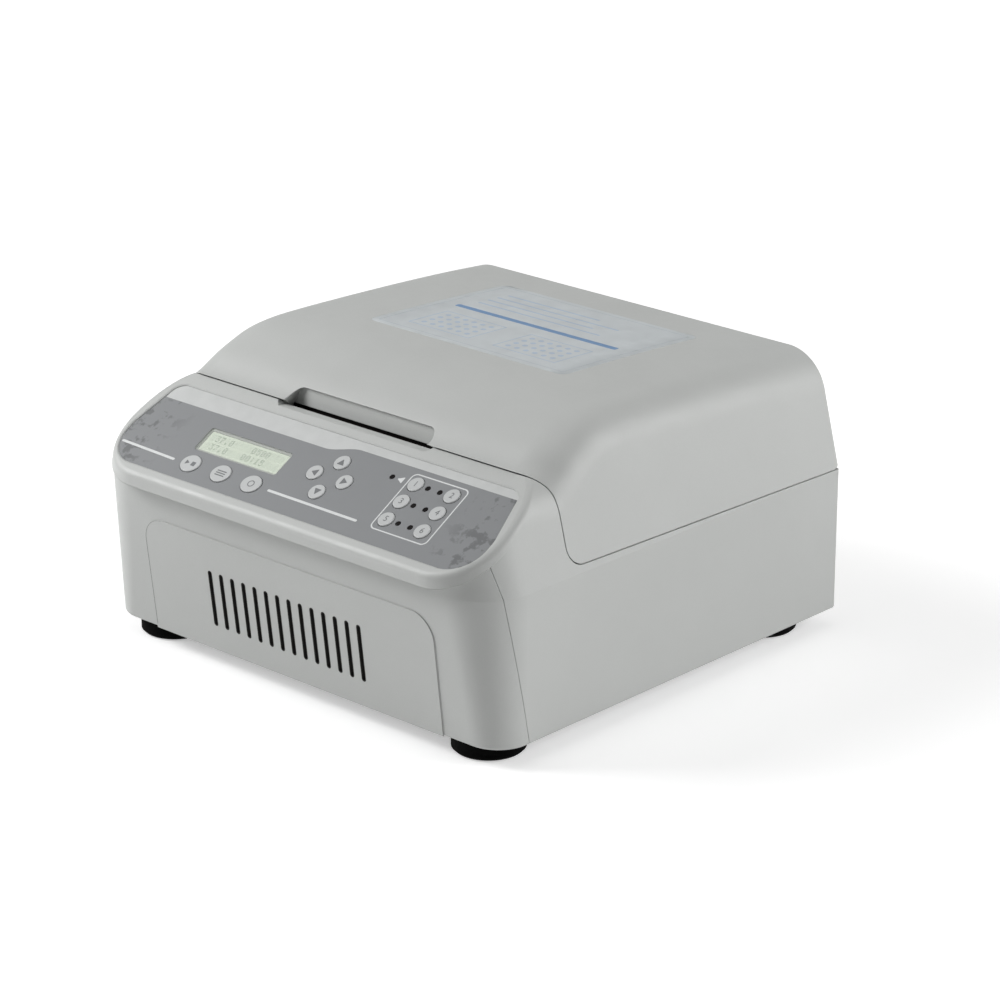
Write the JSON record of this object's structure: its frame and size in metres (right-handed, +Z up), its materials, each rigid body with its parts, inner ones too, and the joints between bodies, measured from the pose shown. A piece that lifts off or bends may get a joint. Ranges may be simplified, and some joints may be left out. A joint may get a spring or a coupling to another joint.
{
  "type": "thermal mixer",
  "caption": "Bench thermal mixer for microplates: vented base, sloped keypad with display, orbiting heated platform under a domed rear-hinged lid.",
  "frame": {"origin": "on the bench, under the middle of the instrument's outline", "axes": "+X to the right of someone facing the console, +Y to the rear, +Z up"},
  "size_m": [0.3, 0.297, 0.1674],
  "materials": {
    "housing_plastic": "fine matt texture",
    "plate_steel": "powder coated",
    "foot_rubber": "matt black",
    "screw_steel": "zinc plated",
    "overlay_film": "satin printed film",
    "window_film": "clear film over a pale green display",
    "display": "pale green",
    "lamp": "dark lens",
    "board": "green solder mask",
    "switch_plastic": "black",
    "liner_aluminium": "satin anodised",
    "seal_rubber": "grey silicone",
    "cast_aluminium": "as cast, machined faces",
    "bearing_steel": "ground",
    "weight_steel": "turned",
    "pulley_aluminium": "turned",
    "belt_rubber": "black neoprene",
    "filter_foam": "open-cell black foam",
    "bush_brass": "sintered bronze",
    "heater_mat": "silicone heater mat",
    "bracket_steel": "zinc plated sheet",
    "motor_can": "plated can",
    "inlet_plastic": "black moulding",
    "key_plastic": "pale grey key"
  },
  "bodies": {
    "base": {"base_cover": "housing_plastic", "front_fascia": "housing_plastic", "vent_filter": "filter_foam", "base_plate": "plate_steel", "feet": "foot_rubber", "foot_screws": "screw_steel", "membrane_overlay": "overlay_film", "display_window": "window_film", "display_module": "display", "status_lamps": "lamp", "control_board": "board", "tact_switches": "switch_plastic", "chamber_tray": "liner_aluminium", "chamber_gasket": "seal_rubber", "drive_frame": "cast_aluminium", "frame_bearings": "bearing_steel", "drive_belt": "belt_rubber", "motor_bracket": "bracket_steel", "drive_motor": "motor_can", "hinge_pins": "bearing_steel", "mains_inlet": "inlet_plastic", "fuse_drawer": "inlet_plastic", "rocker_frame": "inlet_plastic", "fan_housing": "inlet_plastic", "power_board": "board", "supply_parts": "switch_plastic"},
    "lid": {"lid_shell": "housing_plastic", "lid_liner": "liner_aluminium", "lid_heater": "heater_mat", "lid_screws": "screw_steel"},
    "crank": {"crankshaft": "bearing_steel", "balance_weight": "weight_steel", "crank_pulley": "pulley_aluminium"},
    "platform": {"platform_carrier": "cast_aluminium", "platform_bearing": "bearing_steel", "idler_bushes": "bush_brass", "platform_heater": "heater_mat", "platform_block": "cast_aluminium"},
    "motor_rotor": {"motor_shaft": "bearing_steel", "motor_pulley": "pulley_aluminium"},
    "fan": {"fan_rotor": "inlet_plastic"},
    "rocker": {"power_rocker": "inlet_plastic"},
    "idler_crank_1_body": {"idler_crank_1": "bearing_steel"},
    "idler_crank_2_body": {"idler_crank_2": "bearing_steel"},
    "idler_crank_3_body": {"idler_crank_3": "bearing_steel"},
    "idler_crank_4_body": {"idler_crank_4": "bearing_steel"},
    "function_key_1_body": {"function_key_1": "key_plastic"},
    "function_key_2_body": {"function_key_2": "key_plastic"},
    "function_key_3_body": {"function_key_3": "key_plastic"},
    "arrow_key_up_body": {"arrow_key_up": "key_plastic"},
    "arrow_key_left_body": {"arrow_key_left": "key_plastic"},
    "arrow_key_right_body": {"arrow_key_right": "key_plastic"},
    "arrow_key_down_body": {"arrow_key_down": "key_plastic"},
    "memory_key_1_body": {"memory_key_1": "key_plastic"},
    "memory_key_2_body": {"memory_key_2": "key_plastic"},
    "memory_key_3_body": {"memory_key_3": "key_plastic"},
    "memory_key_4_body": {"memory_key_4": "key_plastic"},
    "memory_key_5_body": {"memory_key_5": "key_plastic"},
    "memory_key_6_body": {"memory_key_6": "key_plastic"}
  },
  "joints": [
    {"name": "lid_hinge", "type": "hinge", "parent": "base", "child": "lid", "pos_m": [0, 0.1435, 0.0995], "axis": [-1, 0, 0], "range_deg": [0, 75]},
    {"name": "crank_spin", "type": "hinge", "parent": "base", "child": "crank", "pos_m": [0, 0.032, 0.06], "axis": [0, 0, 1], "continuous": true},
    {"name": "platform_counter_spin", "type": "hinge", "parent": "crank", "child": "platform", "pos_m": [0.0015, 0.032, 0.076], "axis": [0, 0, 1], "continuous": true},
    {"name": "motor_spin", "type": "hinge", "parent": "base", "child": "motor_rotor", "pos_m": [0, -0.098, 0.03], "axis": [0, 0, 1], "continuous": true},
    {"name": "fan_spin", "type": "hinge", "parent": "base", "child": "fan", "pos_m": [-0.08, 0.138, 0.052], "axis": [0, 1, 0], "continuous": true},
    {"name": "rocker_tilt", "type": "hinge", "parent": "base", "child": "rocker", "pos_m": [0.062, 0.14382, 0.042], "axis": [0, 0, -1], "range_deg": [0, 20]},
    {"name": "idler_1_spin", "type": "hinge", "parent": "base", "child": "idler_crank_1_body", "pos_m": [-0.085, -0.023, 0.06], "axis": [0, 0, 1], "continuous": true},
    {"name": "idler_2_spin", "type": "hinge", "parent": "base", "child": "idler_crank_2_body", "pos_m": [-0.085, 0.087, 0.06], "axis": [0, 0, 1], "continuous": true},
    {"name": "idler_3_spin", "type": "hinge", "parent": "base", "child": "idler_crank_3_body", "pos_m": [0.085, -0.023, 0.06], "axis": [0, 0, 1], "continuous": true},
    {"name": "idler_4_spin", "type": "hinge", "parent": "base", "child": "idler_crank_4_body", "pos_m": [0.085, 0.087, 0.06], "axis": [0, 0, 1], "continuous": true},
    {"name": "function_key_1_press", "type": "slide", "parent": "base", "child": "function_key_1_body", "axis": [0, 0.506, -0.8625], "range_m": [0, 0.0005], "stiffness_N_per_m": 2000, "springref_m": -0.0001},
    {"name": "function_key_2_press", "type": "slide", "parent": "base", "child": "function_key_2_body", "axis": [0, 0.506, -0.8625], "range_m": [0, 0.0005], "stiffness_N_per_m": 2000, "springref_m": -0.0001},
    {"name": "function_key_3_press", "type": "slide", "parent": "base", "child": "function_key_3_body", "axis": [0, 0.506, -0.8625], "range_m": [0, 0.0005], "stiffness_N_per_m": 2000, "springref_m": -0.0001},
    {"name": "arrow_key_up_press", "type": "slide", "parent": "base", "child": "arrow_key_up_body", "axis": [0, 0.506, -0.8625], "range_m": [0, 0.0005], "stiffness_N_per_m": 2000, "springref_m": -0.0001},
    {"name": "arrow_key_left_press", "type": "slide", "parent": "base", "child": "arrow_key_left_body", "axis": [0, 0.506, -0.8625], "range_m": [0, 0.0005], "stiffness_N_per_m": 2000, "springref_m": -0.0001},
    {"name": "arrow_key_right_press", "type": "slide", "parent": "base", "child": "arrow_key_right_body", "axis": [0, 0.506, -0.8625], "range_m": [0, 0.0005], "stiffness_N_per_m": 2000, "springref_m": -0.0001},
    {"name": "arrow_key_down_press", "type": "slide", "parent": "base", "child": "arrow_key_down_body", "axis": [0, 0.506, -0.8625], "range_m": [0, 0.0005], "stiffness_N_per_m": 2000, "springref_m": -0.0001},
    {"name": "memory_key_1_press", "type": "slide", "parent": "base", "child": "memory_key_1_body", "axis": [0, 0.506, -0.8625], "range_m": [0, 0.0005], "stiffness_N_per_m": 2000, "springref_m": -0.0001},
    {"name": "memory_key_2_press", "type": "slide", "parent": "base", "child": "memory_key_2_body", "axis": [0, 0.506, -0.8625], "range_m": [0, 0.0005], "stiffness_N_per_m": 2000, "springref_m": -0.0001},
    {"name": "memory_key_3_press", "type": "slide", "parent": "base", "child": "memory_key_3_body", "axis": [0, 0.506, -0.8625], "range_m": [0, 0.0005], "stiffness_N_per_m": 2000, "springref_m": -0.0001},
    {"name": "memory_key_4_press", "type": "slide", "parent": "base", "child": "memory_key_4_body", "axis": [0, 0.506, -0.8625], "range_m": [0, 0.0005], "stiffness_N_per_m": 2000, "springref_m": -0.0001},
    {"name": "memory_key_5_press", "type": "slide", "parent": "base", "child": "memory_key_5_body", "axis": [0, 0.506, -0.8625], "range_m": [0, 0.0005], "stiffness_N_per_m": 2000, "springref_m": -0.0001},
    {"name": "memory_key_6_press", "type": "slide", "parent": "base", "child": "memory_key_6_body", "axis": [0, 0.506, -0.8625], "range_m": [0, 0.0005], "stiffness_N_per_m": 2000, "springref_m": -0.0001}
  ],
  "couplings": [
    {"joint": "platform_counter_spin", "follows": "crank_spin", "ratio": -1},
    {"joint": "motor_spin", "follows": "crank_spin", "ratio": 2.5},
    {"joint": "idler_1_spin", "follows": "crank_spin", "ratio": 1},
    {"joint": "idler_2_spin", "follows": "crank_spin", "ratio": 1},
    {"joint": "idler_3_spin", "follows": "crank_spin", "ratio": 1},
    {"joint": "idler_4_spin", "follows": "crank_spin", "ratio": 1}
  ]
}
